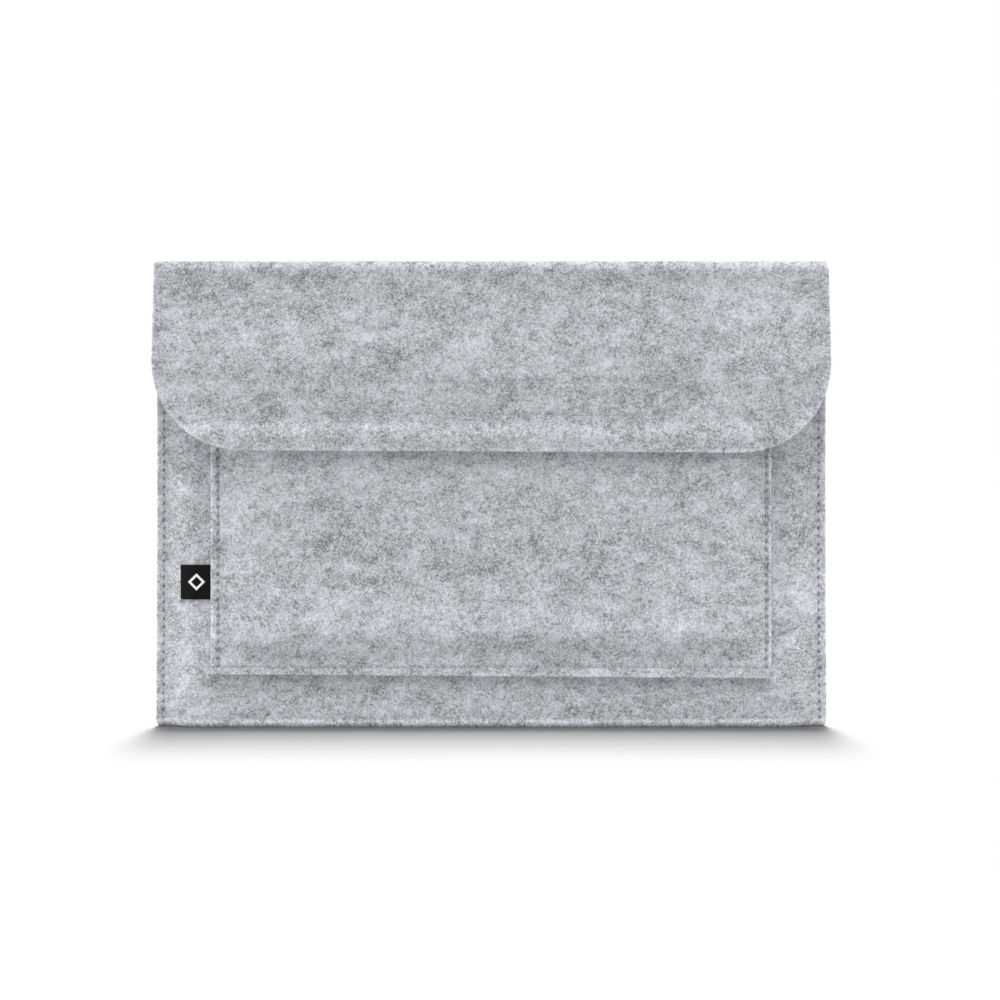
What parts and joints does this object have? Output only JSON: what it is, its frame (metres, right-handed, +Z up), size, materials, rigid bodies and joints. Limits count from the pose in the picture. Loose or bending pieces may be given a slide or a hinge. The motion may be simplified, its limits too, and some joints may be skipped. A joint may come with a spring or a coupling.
{
  "type": "laptop sleeve",
  "caption": "Grey felt laptop sleeve with a folding top flap, a hook-and-loop closure and a front patch pocket.",
  "frame": {"origin": "centre of the flat underside of the bottom fold, in the plane of the side seams", "axes": "+Z up the standing sleeve, +X to the right as seen from the front, and the flap and pocket face -Y"},
  "size_m": [0.3522, 0.0319, 0.2426],
  "materials": {
    "felt": "matte needled felt, light grey melange",
    "thread": "matt polyester sewing thread",
    "tape": "grey nylon hook-and-loop tape",
    "label_ribbon": "black woven ribbon"
  },
  "bodies": {
    "sleeve_body": {"front_panel": "felt", "back_panel": "felt", "pocket_panel": "felt", "label": "label_ribbon", "loop_tape": "tape", "left_seam_needle_thread": "thread", "left_seam_bobbin_thread": "thread", "right_seam_needle_thread": "thread", "right_seam_bobbin_thread": "thread", "pocket_seam_needle_thread": "thread", "pocket_seam_bobbin_thread": "thread", "loop_tape_needle_thread": "thread", "loop_tape_bobbin_thread": "thread"},
    "top_strip": {"top_fold": "felt"},
    "flap": {"flap": "felt", "hook_tape": "tape", "hook_tape_needle_thread": "thread", "hook_tape_bobbin_thread": "thread"}
  },
  "joints": [
    {"name": "back_crease", "type": "hinge", "parent": "sleeve_body", "child": "top_strip", "pos_m": [0, 0.00814, 0.24024], "axis": [-1, 0, 0], "range_deg": [0, 170]},
    {"name": "front_crease", "type": "hinge", "parent": "top_strip", "child": "flap", "pos_m": [0, -0.01164, 0.24024], "axis": [-1, 0, 0], "range_deg": [0, 170]}
  ],
  "couplings": [
    {"joint": "front_crease", "follows": "back_crease", "ratio": 1}
  ]
}
